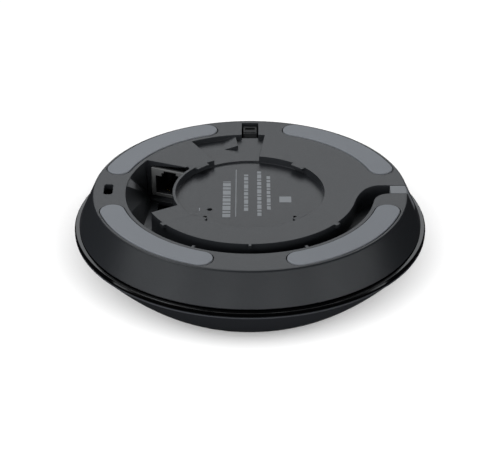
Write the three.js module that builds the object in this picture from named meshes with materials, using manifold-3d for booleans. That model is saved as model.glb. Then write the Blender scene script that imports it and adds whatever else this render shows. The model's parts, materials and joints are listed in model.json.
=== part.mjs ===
// Ceiling access point, seen from its mounting side: +Z is the back, which faces the ceiling.
// The origin is the centre of the flat front face. Millimetres.
import * as THREE from 'three';
import { mergeVertices } from 'three/addons/utils/BufferGeometryUtils.js';
import Module from 'manifold-3d';

const wasm = await Module();
wasm.setup();

// ---- driving dimensions ----
const GAP = 0.3;                    // clearance between pieces that touch
const ROUND = 48;                   // sides of the large turned pieces

const BACK_Z = 44;                  // mounting face
const BACK_RADIUS = 60.8;           // edge of the mounting face
const SKIRT_Z = 31.15;              // lower edge of the conical wall
const SKIRT_RADIUS = 66.3;
const RIM_RADIUS = 68;              // widest point, on the trim ring
const COVER_TOP = 28.8;             // flange of the front cover
const COVER_RADIUS = 67.9;
const FRONT_FLAT = 20;              // radius of the flat middle of the front
const DOME_POWER = 1.95;            // how the dome swells from the flat to the flange
const PLATE = 2.4;                  // thickness of the back plate
const WALL = 2.2;                   // thickness of the conical wall and of the dome
const RIB = 1.6;                    // thickness of pocket walls and floors

const RECESS_RADIUS = 28.7;         // round recess for the mounting bracket
const RECESS_Z = BACK_Z - 2.8;
const LIP_INNER = 26.9;             // bayonet lips that stand into the recess
const LIP_THICK = 1.1;
const LIP_ANGLES = [41, 126.5, 221, 306.5];
const LIP_SWEEP = 12.5;

const SECTOR_OUTER = 47.8;          // sunk sector that guides the bracket to the latch
const SECTOR_Z = BACK_Z - 2.1;
const SECTOR_START = 82.8;
const SECTOR_END = 119.4;

const WEDGE_ANGLE = 97;             // ratchet wedge in the sector
const WEDGE_INNER = 39.3;
const WEDGE_LENGTH = 5.6;
const WEDGE_HEIGHT = 1.55;

const LATCH_HALF = 2.75;            // spring latch and its well
const LATCH_NEAR = 49.3;
const LATCH_FAR = 57.3;
const LATCH_TOP = BACK_Z - 1;
const LATCH_BOTTOM = 40.2;
const LATCH_SLOT = [54.3, 55.9];    // finger slot through the latch
const LATCH_GROOVE = [51.3, 51.8];  // shallow groove across its top
const LATCH_SPRING_Y = 52.6;
const WELL_HALF = 3.35;
const WELL_FAR = 58.3;
const WELL_FLOOR = 35.6;

const CHANNEL_INNER = 41.1;         // cable channel round the near half
const CHANNEL_OUTER = 48;
const CHANNEL_Z = BACK_Z - 7.5;
const CHANNEL_START = 204.7;
const EXIT_LOW = -2.3;              // sides of the straight cable exit
const EXIT_HIGH = 4.3;
const PLUG_X = 54.2;                // inner end of the exit plug

const JACK_YAW = -21.7;             // the jack's own frame: x along its face, y into it
const JACK_X = -31.85;
const JACK_Y = 21.4;
const JACK_Z = 29;
const JACK_HALF = 7.9;
const JACK_HEIGHT = 12.3;
const JACK_DEPTH = 13;
const POCKET_LIP = 29.9;            // radius of the thin wall between pocket and recess
const LIP_BEGIN = 142.8;            // angles between which that wall runs
const LIP_END = 202.4;
const POCKET_FLOOR = 25.5;
const POCKET_WALL = 0.45;           // the pocket's end wall stands this far behind the jack's face
const POCKET_CORNER = 213;          // where the pocket opens into the cable channel
const BOWL_POINT = [-40.7, 25.4, 28.4];  // the pocket's bowl narrows to this point by the jack
const SIDE_TILT = [1.956, 0.144, 1];     // steep side between the bowl and the cable's way
const SIDE_Z = -46.2;
const RAMP_TILT = [0, 0.24, 1];     // floor that rises from the jack to the cable channel
const RAMP_Z = 32.2;
const PIT_LEFT = -36.4;             // left and near sides of the pit beside the ramp
const PIT_NEAR = -8;
const LEDGE_Z = 28.7;               // ledge below the jack
const LEDGE_REACH = 3.2;

const PAD_INNER = 49.9;             // grip pads
const PAD_OUTER = 59.2;
const PAD_SINK = 1;
const PAD_PROUD = 0.4;
const PAD_SPANS = { far_right: [14.5, 75.5], far_left: [104.5, 165.5],
  near_left: [192.5, 255.5], near_right: [284.5, 347.5] };
const PAD_GROOVE = 0.35;

const COVER_SCREW_RADIUS = 54.5;    // four long screws under the grip pads
const COVER_SCREW_ANGLES = [45, 135, 224, 316];
const BOARD_Z = 27.1;               // main board, lower face
const BOARD_THICK = 1.6;
const BOARD_TOP = BOARD_Z + BOARD_THICK;
const BOARD_RADIUS = 49;
const BOARD_POSTS = [[44, 62], [44, 22], [35, 305], [35, 242]];
const SPREADER_Z = 19;              // heat spreader, lower face
const SPREADER_THICK = 2;
const SPREADER_RADIUS = 46;
const SPREADER_POSTS = [[38, 90], [38, 210], [38, 330]];
const CAP_RADIUS = 14.7;
const LED_POST = 19.5;              // posts of the small board behind the cap
const RESET = [-15.4, -9.9];        // pinhole in the recess floor
const PEG_HOLES = [[-17.1, -15.6], [17.1, -15.6]];
const STUD_HOLE = [-24.8, 19.1];    // small hole at the end of the wall above the jack
const SLOT_CENTRE = [-54.7, 1.1];   // security slot
const SLOT_HALF = [1.7, 4];

// ---- finishes ----
const finish = (colour, roughness, metalness = 0) =>
  new THREE.MeshStandardMaterial({ color: colour, roughness, metalness });
const housing = () => finish('#56595d', 0.62);
const dome = () => finish('#3f4145', 0.55);
const rubber = () => finish('#85888c', 0.9);
const gloss = () => finish('#0c0c0d', 0.18);
const darkPlastic = () => finish('#1b1c1e', 0.45);
const tin = () => finish('#8f9296', 0.35, 0.9);
const steel = () => finish('#b4b6b8', 0.3, 1);
const gold = () => finish('#c9a552', 0.3, 1);
const board = () => finish('#1f4a34', 0.55);
const aluminium = () => finish('#a9abad', 0.45, 1);
const gum = () => finish('#9aa7b4', 0.85);
const clear = () => finish('#e8eef2', 0.2);

// ---- small tools ----
const radians = (degrees) => degrees * Math.PI / 180;

function polar(radius, degrees) {
  return [radius * Math.cos(radians(degrees)), radius * Math.sin(radians(degrees))];
}

// Makes a solid from a closed three.js geometry, turning it right side out when needed.
function solid(geometry) {
  geometry.deleteAttribute('normal');
  geometry.deleteAttribute('uv');
  const merged = mergeVertices(geometry, 1e-4);
  const make = (triangles) => new wasm.Manifold(new wasm.Mesh({
    numProp: 3,
    vertProperties: new Float32Array(merged.attributes.position.array),
    triVerts: triangles,
  }));
  const triangles = [];
  for (let i = 0; i < merged.index.count; i += 3) {
    const [a, b, c] = merged.index.array.slice(i, i + 3);
    if (a !== b && b !== c && c !== a) triangles.push(a, b, c);
  }
  const body = make(new Uint32Array(triangles));
  return body.volume() > 0 ? body : make(new Uint32Array(triangles.reverse()));
}

function geometryOf(body) {
  const mesh = body.getMesh();
  const geometry = new THREE.BufferGeometry();
  geometry.setAttribute('position', new THREE.BufferAttribute(mesh.vertProperties, 3));
  geometry.setIndex(new THREE.BufferAttribute(mesh.triVerts, 1));
  geometry.computeVertexNormals();
  return geometry;
}

// A solid of revolution about Z from [radius, height] points, closed unless it starts on the axis.
function turned(points, sides = ROUND) {
  const outline = points[0][0] === 0 ? points : [...points, points[0]];
  const profile = outline.map(([radius, height]) => new THREE.Vector2(radius, height));
  return solid(new THREE.LatheGeometry(profile, sides).rotateX(Math.PI / 2));
}

function prism(shape, low, high, curveSegments = 10) {
  const settings = { depth: high - low, bevelEnabled: false, curveSegments };
  return solid(new THREE.ExtrudeGeometry(shape, settings).translate(0, 0, low));
}

// Carries an outline drawn in the Y-Z plane along X.
function carriedAlongX(shape, start, end) {
  const geometry = new THREE.ExtrudeGeometry(shape, { depth: end - start, bevelEnabled: false });
  const columns = [new THREE.Vector3(0, 1, 0), new THREE.Vector3(0, 0, 1), new THREE.Vector3(1, 0, 0)];
  return geometry.applyMatrix4(new THREE.Matrix4().makeBasis(...columns)).translate(start, 0, 0);
}

function box(x0, x1, y0, y1, z0, z1) {
  const geometry = new THREE.BoxGeometry(x1 - x0, y1 - y0, z1 - z0);
  return solid(geometry.translate((x0 + x1) / 2, (y0 + y1) / 2, (z0 + z1) / 2));
}

function rod(x, y, radius, z0, z1, sides = 16) {
  const geometry = new THREE.CylinderGeometry(radius, radius, z1 - z0, sides).rotateX(Math.PI / 2);
  return solid(geometry.translate(x, y, (z0 + z1) / 2));
}

const join = (bodies) => bodies.reduce((sum, body) => sum.add(body));
const cut = (body, tools) => tools.reduce((rest, tool) => rest.subtract(tool), body);

function sector(inner, outer, start, end) {
  const shape = new THREE.Shape();
  shape.absarc(0, 0, outer, radians(start), radians(end), false);
  shape.absarc(0, 0, inner, radians(end), radians(start), true);
  shape.closePath();
  return shape;
}

// An arc-shaped pad with round ends between two angles.
function padShape(inner, outer, start, end) {
  const middle = (inner + outer) / 2;
  const half = (outer - inner) / 2;
  const inset = half / middle * 180 / Math.PI;
  const first = radians(start + inset);
  const last = radians(end - inset);
  const shape = new THREE.Shape();
  shape.absarc(0, 0, outer, first, last, false);
  shape.absarc(middle * Math.cos(last), middle * Math.sin(last), half, last, last + Math.PI, false);
  shape.absarc(0, 0, inner, last, first, true);
  shape.absarc(middle * Math.cos(first), middle * Math.sin(first), half, first + Math.PI,
    first + 2 * Math.PI, false);
  shape.closePath();
  return shape;
}

function roundedRectangle(x, y, halfX, halfY, corner) {
  const shape = new THREE.Shape();
  const [left, right, low, high] = [x - halfX, x + halfX, y - halfY, y + halfY];
  shape.moveTo(left + corner, low);
  shape.lineTo(right - corner, low);
  shape.absarc(right - corner, low + corner, corner, -Math.PI / 2, 0, false);
  shape.lineTo(right, high - corner);
  shape.absarc(right - corner, high - corner, corner, 0, Math.PI / 2, false);
  shape.lineTo(left + corner, high);
  shape.absarc(left + corner, high - corner, corner, Math.PI / 2, Math.PI, false);
  shape.lineTo(left, low + corner);
  shape.absarc(left + corner, low + corner, corner, Math.PI, 1.5 * Math.PI, false);
  return shape;
}

// A pan-head screw standing on Z: the head is above the shank when up is true.
function screw(x, y, headRadius, shankRadius, z0, z1, headHeight, up) {
  const shank = rod(x, y, shankRadius, z0, z1, 10);
  const [low, high] = up ? [z1 - headHeight, z1] : [z0, z0 + headHeight];
  const head = rod(x, y, headRadius, low, high, 14);
  const [slotLow, slotHigh] = up ? [high - 0.7, high + 1] : [low - 1, low + 0.7];
  const reach = headRadius * 0.6;
  const cross = join([
    box(x - reach, x + reach, y - 0.3, y + 0.3, slotLow, slotHigh),
    box(x - 0.3, x + 0.3, y - reach, y + reach, slotLow, slotHigh),
  ]);
  return shank.add(head).subtract(cross);
}

const jackMatrix = new THREE.Matrix4().makeRotationZ(radians(JACK_YAW)).setPosition(JACK_X, JACK_Y, 0);

function fromJack(x, y) {
  const point = new THREE.Vector3(x, y, 0).applyMatrix4(jackMatrix);
  return [point.x, point.y];
}

// A box given in the jack's own frame, as a solid in the object's frame.
function jackBox(x0, x1, y0, y1, z0, z1) {
  const geometry = new THREE.BoxGeometry(x1 - x0, y1 - y0, z1 - z0);
  geometry.translate((x0 + x1) / 2, (y0 + y1) / 2, (z0 + z1) / 2);
  return solid(geometry.applyMatrix4(jackMatrix));
}

// ---- outlines of the back shell's pockets, each grown outwards by a wall ----
function channelShape(grow) {
  const outer = CHANNEL_OUTER + grow;
  const inner = CHANNEL_INNER - grow;
  const low = EXIT_LOW - grow;
  const high = EXIT_HIGH + grow;
  const bend = -9.5;
  const turn = -13;
  const shape = new THREE.Shape();
  shape.absarc(0, 0, outer, radians(CHANNEL_START - 360), radians(bend), false);
  shape.bezierCurveTo(outer - 0.1, low - 2.5, outer + 2.2, low, outer + 5.9, low);
  shape.lineTo(RIM_RADIUS + 4, low);
  shape.lineTo(RIM_RADIUS + 4, high);
  shape.lineTo(outer + 2.5, high);
  const [turnX, turnY] = polar(inner, turn);
  shape.bezierCurveTo(inner + 5.2, high, inner + 0.9, high - 4.2, turnX, turnY);
  shape.absarc(0, 0, inner, radians(turn), radians(CHANNEL_START - 360), true);
  shape.closePath();
  return shape;
}

// The angle at which the pocket's flat wall behind the jack's face meets a circle.
function wallAngle(radius, wall) {
  const [x, y] = fromJack(0, wall);
  const [alongX, alongY] = polar(1, JACK_YAW);
  const foot = x * alongX + y * alongY;
  const travel = -foot - Math.sqrt(foot ** 2 - x ** 2 - y ** 2 + radius ** 2);
  return Math.atan2(y + travel * alongY, x + travel * alongX);
}

function pocketShape(grow) {
  const shape = new THREE.Shape();
  const wall = POCKET_WALL + grow;
  const outer = CHANNEL_OUTER + grow;
  shape.moveTo(...fromJack(JACK_HALF + 0.1 + grow, wall));
  shape.absarc(0, 0, outer, wallAngle(outer, wall), radians(POCKET_CORNER), false);
  shape.absarc(0, 0, CHANNEL_INNER - grow, radians(POCKET_CORNER), radians(CHANNEL_START + grow), true);
  shape.absarc(0, 0, POCKET_LIP - grow, radians(LIP_END + grow), radians(LIP_BEGIN - 2 * grow), true);
  shape.closePath();
  return shape;
}

// Everything above a tilted plane that crosses the Z axis at a height, moved down by a wall.
function above(tilt, height, grow) {
  const reach = 6 * CHANNEL_OUTER;
  const block = new THREE.BoxGeometry(reach, reach, reach).translate(0, 0, reach / 2);
  const up = new THREE.Vector3(0, 0, 1);
  const normal = new THREE.Vector3(...tilt);
  const drop = grow * normal.length();
  block.applyQuaternion(new THREE.Quaternion().setFromUnitVectors(up, normal.normalize()));
  return solid(block.translate(0, 0, height - drop));
}

// A leaning cone from the pocket's round edge down to a point by the jack.
function pocketBowl(grow) {
  const [x, y, z] = BOWL_POINT;
  const high = BACK_Z + 1;
  const height = high - z + grow;
  const bowl = new THREE.CylinderGeometry(CHANNEL_OUTER + grow, 0.1 + grow, height, ROUND);
  bowl.rotateX(Math.PI / 2).translate(0, 0, -height / 2);
  bowl.applyMatrix4(new THREE.Matrix4().set(
    1, 0, -x / height, 0,
    0, 1, -y / height, 0,
    0, 0, 1, high,
    0, 0, 0, 1,
  ));
  return solid(bowl);
}

// The deep cable pocket in front of the jack: a bowl on the left, a steep side, a ramp from the
// jack up to the cable channel, a ledge below the jack and a pit beside the ramp.
function pocketVolume(grow) {
  const low = POCKET_FLOOR - grow;
  const high = BACK_Z + 1;
  const side = JACK_HALF + 1.9;
  const nearLedge = jackBox(-90, 90, -90, -LEDGE_REACH, low, high);
  const floor = join([
    above(RAMP_TILT, RAMP_Z, grow).intersect(nearLedge),
    box(-90, 0, -90, 90, CHANNEL_Z - grow, high),
    jackBox(-90, 90, -LEDGE_REACH - grow, 9, LEDGE_Z - grow, high),
  ]);
  const open = join([pocketBowl(grow), above(SIDE_TILT, SIDE_Z, grow)]).intersect(floor);
  const front = -JACK_HALF - GAP - grow;
  const ledge = jackBox(front, side + grow, -LEDGE_REACH - grow, grow + 1, LEDGE_Z - grow, high);
  const pit = box(PIT_LEFT - grow, 0, PIT_NEAR - grow, 30, low, high)
    .intersect(jackBox(-90, side + grow, -90, -LEDGE_REACH, low, high));
  return prism(pocketShape(grow), low, high).intersect(join([open, ledge, pit]));
}

function channelVolume(grow) {
  return prism(channelShape(grow), CHANNEL_Z - grow, BACK_Z + 1);
}

// ---- back shell ----
const SKIRT_TOP = BACK_Z - 0.5;
const skirtRadius = (z) =>
  BACK_RADIUS + (SKIRT_RADIUS - BACK_RADIUS) * (SKIRT_TOP - z) / (SKIRT_TOP - SKIRT_Z);
const PLATE_Z = BACK_Z - PLATE;
const FLANGE_Z = SKIRT_Z + 1.45;
const FLANGE_INNER = 62.6;

function outerBody() {
  return turned([[0, BACK_Z], [BACK_RADIUS - 0.5, BACK_Z], [BACK_RADIUS, SKIRT_TOP],
    [SKIRT_RADIUS, SKIRT_Z], [0, SKIRT_Z]]);
}

function screwPlaces() {
  return COVER_SCREW_ANGLES.map((angle) => polar(COVER_SCREW_RADIUS, angle));
}

function bracketWedge() {
  const side = new THREE.Shape();
  side.moveTo(0, -0.5);
  side.lineTo(WEDGE_LENGTH, -0.5);
  side.lineTo(WEDGE_LENGTH, 0);
  side.lineTo(0, WEDGE_HEIGHT);
  side.closePath();
  const geometry = carriedAlongX(side, WEDGE_INNER, SECTOR_OUTER + 0.5);
  return solid(geometry.translate(0, 0, SECTOR_Z).rotateZ(radians(WEDGE_ANGLE)));
}

// Small holding tabs on the edges of the cable channel.
function channelTabs() {
  const tab = (radius0, radius1, angle, half) => {
    const geometry = new THREE.BoxGeometry(radius1 - radius0, 2 * half, 1.2);
    geometry.translate((radius0 + radius1) / 2, 0, BACK_Z - 0.6).rotateZ(radians(angle));
    return solid(geometry);
  };
  const inner = [[218.5, 1.1], [270, 0.6], [321.5, 1.1]];
  const outer = [[244, 0.6], [296, 0.6]];
  return [
    ...inner.map(([angle, half]) => tab(CHANNEL_INNER - 0.6, CHANNEL_INNER + 1.3, angle, half)),
    ...outer.map(([angle, half]) => tab(CHANNEL_OUTER - 1.3, CHANNEL_OUTER + 0.6, angle, half)),
  ];
}

function backShell() {
  const inside = turned([[0, PLATE_Z], [skirtRadius(PLATE_Z) - WALL, PLATE_Z],
    [skirtRadius(FLANGE_Z) - WALL, FLANGE_Z], [FLANGE_INNER, FLANGE_Z],
    [FLANGE_INNER, SKIRT_Z - 1], [0, SKIRT_Z - 1]]);
  const outside = outerBody();
  const blockTop = PLATE_Z + 0.5;
  const bosses = [
    rod(0, 0, RECESS_RADIUS + RIB, RECESS_Z - RIB, blockTop, ROUND),
    prism(sector(RECESS_RADIUS - 1, SECTOR_OUTER + RIB, SECTOR_START - 2, SECTOR_END + 2),
      SECTOR_Z - RIB, blockTop),
    box(-WELL_HALF - RIB, WELL_HALF + RIB, LATCH_NEAR - 3, WELL_FAR + RIB, WELL_FLOOR - RIB, blockTop),
    channelVolume(RIB).intersect(outside),
    ...screwPlaces().map(([x, y]) => rod(x, y, 4.2, SKIRT_Z + 0.15, blockTop)),
    ...BOARD_POSTS.map(([radius, angle]) => rod(...polar(radius, angle), 2.6, BOARD_TOP + GAP, blockTop)),
  ];
  const pocketWalls = pocketVolume(RIB).intersect(box(-70, 0, -40, 40, 0, blockTop));
  const teeth = LIP_ANGLES.map((angle) =>
    prism(sector(LIP_INNER, RECESS_RADIUS + 0.6, angle, angle + LIP_SWEEP), BACK_Z - LIP_THICK, BACK_Z, 8));
  const pads = Object.values(PAD_SPANS).map(([start, end]) =>
    prism(padShape(PAD_INNER - PAD_GROOVE, PAD_OUTER + PAD_GROOVE, start - 0.4, end + 0.4),
      BACK_Z - PAD_SINK, BACK_Z + 1, 8));
  const body = join([cut(outside, [inside]), ...bosses, pocketWalls]);
  const opened = cut(body, [
    rod(0, 0, RECESS_RADIUS, RECESS_Z, BACK_Z + 1, ROUND),
    prism(sector(RECESS_RADIUS - 1, SECTOR_OUTER, SECTOR_START, SECTOR_END), SECTOR_Z, BACK_Z + 1),
    box(-WELL_HALF, WELL_HALF, LATCH_NEAR - 0.35, WELL_FAR, WELL_FLOOR, BACK_Z + 1),
    box(-WELL_HALF, WELL_HALF, SECTOR_OUTER - 2, LATCH_NEAR, SECTOR_Z, BACK_Z + 1),
    channelVolume(0),
    pocketVolume(0),
    jackBox(-JACK_HALF - GAP, JACK_HALF + GAP, -0.5, 3, LEDGE_Z, JACK_Z + JACK_HEIGHT + GAP),
    ...pads,
    ...screwPlaces().map(([x, y]) => rod(x, y, 2.9, 40.3, BACK_Z, 24)),
    ...screwPlaces().map(([x, y]) => rod(x, y, 1.85, SKIRT_Z, BACK_Z, 16)),
    ...BOARD_POSTS.map(([radius, angle]) => rod(...polar(radius, angle), 1.5, BOARD_Z, BOARD_Z + 8, 16)),
    prism(roundedRectangle(...SLOT_CENTRE, ...SLOT_HALF, 1), PLATE_Z - 1, BACK_Z + 1, 6),
    rod(...RESET, 0.95, RECESS_Z - RIB - 1, BACK_Z, 16),
    rod(...STUD_HOLE, 0.6, BACK_Z - 2, BACK_Z + 1, 12),
    ...PEG_HOLES.map(([x, y]) => rod(x, y, 0.7, RECESS_Z - RIB - 1, BACK_Z, 12)),
  ]);
  return join([opened, bracketWedge(), ...teeth, ...channelTabs()]);
}

// ---- pieces that sit in the back shell ----
function exitPlug() {
  const block = box(PLUG_X, RIM_RADIUS, EXIT_LOW + GAP, EXIT_HIGH - GAP, CHANNEL_Z + GAP, BACK_Z);
  return block.intersect(outerBody());
}

function latch() {
  const side = new THREE.Shape();
  side.moveTo(LATCH_NEAR + GAP, LATCH_BOTTOM);
  side.lineTo(LATCH_FAR, LATCH_BOTTOM);
  side.lineTo(LATCH_FAR, LATCH_TOP);
  side.lineTo(LATCH_NEAR + 1.4, LATCH_TOP);
  side.lineTo(LATCH_NEAR + GAP, SECTOR_Z - 0.1);
  side.closePath();
  const top = LATCH_TOP + 1;
  return cut(solid(carriedAlongX(side, -LATCH_HALF, LATCH_HALF)), [
    box(-2, 2, ...LATCH_SLOT, LATCH_BOTTOM - 1, top),
    box(-2.3, 2.3, ...LATCH_GROOVE, LATCH_TOP - 0.5, top),
    rod(0, LATCH_SPRING_Y, 1.9, LATCH_BOTTOM - 1, LATCH_BOTTOM + 1),
  ]);
}

// The coil spring that stands on the well's floor, as the tube its wire fills.
function latchSpring() {
  const bottom = WELL_FLOOR + GAP;
  const top = LATCH_BOTTOM + 1 - GAP;
  return cut(rod(0, LATCH_SPRING_Y, 1.6, bottom, top), [rod(0, LATCH_SPRING_Y, 1.1, bottom - 1, top + 1)]);
}

// ---- jack ----
function jackOpening(grow) {
  const shape = new THREE.Shape();
  const steps = [[5.85, 1.7], [5.85, 8.7], [3.3, 8.7], [3.3, 10.2], [2.35, 10.2], [2.35, 11.2]];
  const right = steps.map(([x, z]) => [x + grow, z + (z > 2 ? grow : -grow)]);
  const outline = [...right, ...right.map(([x, z]) => [-x, z]).reverse()];
  outline.forEach(([x, z], i) => (i ? shape.lineTo(x, z) : shape.moveTo(x, z)));
  shape.closePath();
  return shape;
}

// Pushes an outline drawn on the jack's face into the jack, from one depth to another.
function alongJack(shape, near, far) {
  const geometry = new THREE.ExtrudeGeometry(shape, { depth: far - near, bevelEnabled: false });
  geometry.rotateX(Math.PI / 2).translate(0, far, JACK_Z);
  return solid(geometry.applyMatrix4(jackMatrix));
}

function jackShield() {
  const top = JACK_Z + JACK_HEIGHT;
  const shell = jackBox(-JACK_HALF, JACK_HALF, 0, JACK_DEPTH, JACK_Z, top);
  const half = JACK_HALF - 0.4;
  const inside = jackBox(-half, half, 0.4, JACK_DEPTH + 1, JACK_Z + 0.4, top - 0.4);
  return cut(shell, [inside, alongJack(jackOpening(0.3), -1, 1)]);
}

function jackInsert() {
  const top = JACK_Z + JACK_HEIGHT - 0.7;
  const block = jackBox(-JACK_HALF + 0.7, JACK_HALF - 0.7, 0.7, JACK_DEPTH, JACK_Z + 0.7, top);
  const slots = contactPlaces().map((x) =>
    jackBox(x - 0.35, x + 0.35, 2.2, JACK_DEPTH - 1.6, JACK_Z + 1.2, JACK_Z + 5.4));
  return cut(block, [alongJack(jackOpening(0), 0, JACK_DEPTH - 2.2), ...slots]);
}

const CONTACTS = 8;
const CONTACT_PITCH = 1.02;
const contactPlaces = () =>
  Array.from({ length: CONTACTS }, (_, i) => (i - (CONTACTS - 1) / 2) * CONTACT_PITCH);

// One bent spring wire: it lies in its slot and slopes up towards the back of the jack.
function jackContact(x) {
  const half = 0.16;
  const thick = 0.32;
  const low = JACK_Z + 1.55;
  const wire = new THREE.Shape();
  wire.moveTo(2.6, low);
  wire.lineTo(3.4, low);
  wire.lineTo(9.6, low + 1.9);
  wire.lineTo(9.6, low + 1.9 + thick);
  wire.lineTo(3.4, low + thick);
  wire.lineTo(2.6, low + thick);
  wire.closePath();
  return solid(carriedAlongX(wire, x - half, x + half).applyMatrix4(jackMatrix));
}

// ---- front cover and rim ----
const domeHeight = (radius, edge) =>
  COVER_TOP * ((radius - FRONT_FLAT) / (edge - FRONT_FLAT)) ** DOME_POWER;

function domeProfile(edge, base, steps, last) {
  const points = [];
  for (let i = 0; i <= steps; i += 1) {
    const radius = FRONT_FLAT + (last - FRONT_FLAT) * i / steps;
    points.push([radius, base + domeHeight(radius, edge)]);
  }
  return points;
}

function coverSolid() {
  return turned([[0, 0], ...domeProfile(COVER_RADIUS, 0, 8, COVER_RADIUS - 0.4),
    [COVER_RADIUS, COVER_TOP - 0.3], [COVER_RADIUS, COVER_TOP], [0, COVER_TOP]]);
}

function frontCover() {
  const edge = COVER_RADIUS - 3.3;
  const inside = turned([[0, WALL], ...domeProfile(edge, WALL, 7, edge),
    [edge, COVER_TOP + 4], [0, COVER_TOP + 4]]);
  const bulk = coverSolid();
  const above = box(-COVER_RADIUS, COVER_RADIUS, -COVER_RADIUS, COVER_RADIUS, WALL / 2, SKIRT_Z);
  const envelope = join([bulk, rod(0, 0, COVER_RADIUS - 6, COVER_TOP - 1, SKIRT_Z, ROUND)]).intersect(above);
  const posts = join([
    ...screwPlaces().map(([x, y]) => rod(x, y, 3.4, 2, SKIRT_Z - 0.15)),
    ...SPREADER_POSTS.map(([radius, angle]) => rod(...polar(radius, angle), 2.8, 1, SPREADER_Z - GAP)),
    ...[-1, 1].map((side) => rod(side * LED_POST, 0, 2.4, 1, 7.7)),
  ]).intersect(envelope);
  return cut(join([cut(bulk, [inside]), posts]), [
    rod(0, 0, CAP_RADIUS + GAP, -1, WALL + 1, 64),
    ...screwPlaces().map(([x, y]) => rod(x, y, 1.8, 21, SKIRT_Z, 16)),
    ...SPREADER_POSTS.map(([radius, angle]) => rod(...polar(radius, angle), 1.5, 11, SPREADER_Z, 16)),
    ...[-1, 1].map((side) => rod(side * LED_POST, 0, 1.3, 3.5, 9, 12)),
  ]);
}

function trimRing() {
  const low = COVER_TOP + GAP;
  const high = SKIRT_Z - GAP;
  return turned([[65.3, low], [RIM_RADIUS - 0.4, low], [RIM_RADIUS, low + 0.3], [RIM_RADIUS, high - 0.7],
    [RIM_RADIUS - 0.3, high - 0.2], [RIM_RADIUS - 0.8, high], [65.3, high]]);
}

function sealRing() {
  const low = COVER_TOP + GAP;
  const high = SKIRT_Z - GAP;
  return turned([[62.9, low], [65, low], [65, high], [62.9, high]]);
}

function centreCap() {
  const body = turned([[0, 0.3], [CAP_RADIUS - 0.6, 0.3], [CAP_RADIUS, 0.8], [CAP_RADIUS, WALL],
    [CAP_RADIUS + 1.6, WALL + GAP], [CAP_RADIUS + 1.6, WALL + 1.6], [0, WALL + 1.6]], 64);
  return cut(body, [rod(0, 0, 1.8, -1, 6)]);
}

// ---- boards and what they carry ----
function mainBoard() {
  const low = BOARD_Z - 1;
  const high = BOARD_TOP + 1;
  const holes = BOARD_POSTS.map(([radius, angle]) => rod(...polar(radius, angle), 1.6, low, high, 16));
  const notch = prism(pocketShape(RIB + 0.6), low, high);
  return cut(rod(0, 0, BOARD_RADIUS, BOARD_Z, BOARD_TOP, 64), [...holes, notch]);
}

function antenna(angle) {
  const blade = prism(sector(51, 54, angle - 12, angle + 12), 28.1, 28.7, 3);
  const leg = prism(sector(51, 51.6, angle - 12, angle + 12), 24, 28.4, 3);
  const slit = prism(sector(51.8, 53.2, angle - 9, angle + 6), 27, 30, 3);
  return cut(join([blade, leg]), [slit]);
}

function heatSpreader() {
  const top = SPREADER_Z + SPREADER_THICK;
  const disc = rod(0, 0, SPREADER_RADIUS, SPREADER_Z, top, 64);
  const fins = [-28, -14, 0, 14, 28].map((x) =>
    box(x - 0.8, x + 0.8, -24, 24, SPREADER_Z - 4, SPREADER_Z + 0.5));
  const low = SPREADER_Z - 1;
  const high = top + 1;
  const ribbonHole = box(-4, 4, -40, -32, low, high);
  const screwHoles = SPREADER_POSTS.map(([radius, angle]) =>
    rod(...polar(radius, angle), 1.6, low, high, 16));
  return cut(join([disc, ...fins]), [...screwHoles, ribbonHole]);
}

const CAN_HEIGHT = 3.2;
const CANS = {
  radio_shield_low: [-8, 14, 10, 9],
  radio_shield_high: [17, 14, 12, 9],
  processor_shield: [2, -16, 13, 11],
};

function shieldCan([x, y, halfX, halfY]) {
  const top = BOARD_Z - GAP;
  const low = top - CAN_HEIGHT;
  const wall = 0.4;
  const [insideX, insideY] = [halfX - wall, halfY - wall];
  return cut(box(x - halfX, x + halfX, y - halfY, y + halfY, low, top),
    [box(x - insideX, x + insideX, y - insideY, y + insideY, low + wall, top + 1)]);
}

function thermalPad([x, y, halfX, halfY]) {
  const low = SPREADER_Z + SPREADER_THICK + GAP;
  const high = BOARD_Z - CAN_HEIGHT - 2 * GAP;
  return prism(roundedRectangle(x, y, halfX - 2, halfY - 2, 1), low, high, 3);
}

function ledBoard() {
  const holes = [-1, 1].map((side) => rod(side * LED_POST, 0, 1.5, 7, 10, 12));
  return cut(prism(roundedRectangle(0, 0, LED_POST + 3, 6, 2), 8, 9.2, 5), holes);
}

// Flat flexible lead from the light's board up through the heat spreader to the main board.
function ledRibbon() {
  const thick = 0.4;
  const path = new THREE.Shape();
  const route = [[-3, 9.5], [-30, 9.5], [-36, 15], [-36, 26.8]];
  const back = [[-36 + thick, 26.8], [-36 + thick, 15.2], [-29.8, 9.5 + thick], [-3, 9.5 + thick]];
  [...route, ...back].forEach(([y, z], i) => (i ? path.lineTo(y, z) : path.moveTo(y, z)));
  path.closePath();
  return solid(carriedAlongX(path, -2.5, 2.5));
}

function resetSwitch() {
  const [x, y] = RESET;
  const low = BOARD_TOP + GAP;
  return cut(box(x - 3, x + 3, y - 3, y + 3, low, 35.5), [rod(x, y, 1.7, 33.6, 37, 20)]);
}

function resetButton() {
  const [x, y] = RESET;
  return join([rod(x, y, 1.35, 34.4, 36.2, 20), rod(x, y, 0.75, 36, 38.9, 16)]);
}

// ---- the assembly ----
const accessPoint = new THREE.Group();

function addPart(name, body, material) {
  const mesh = new THREE.Mesh(geometryOf(body), material);
  mesh.name = name;
  accessPoint.add(mesh);
}

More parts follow.
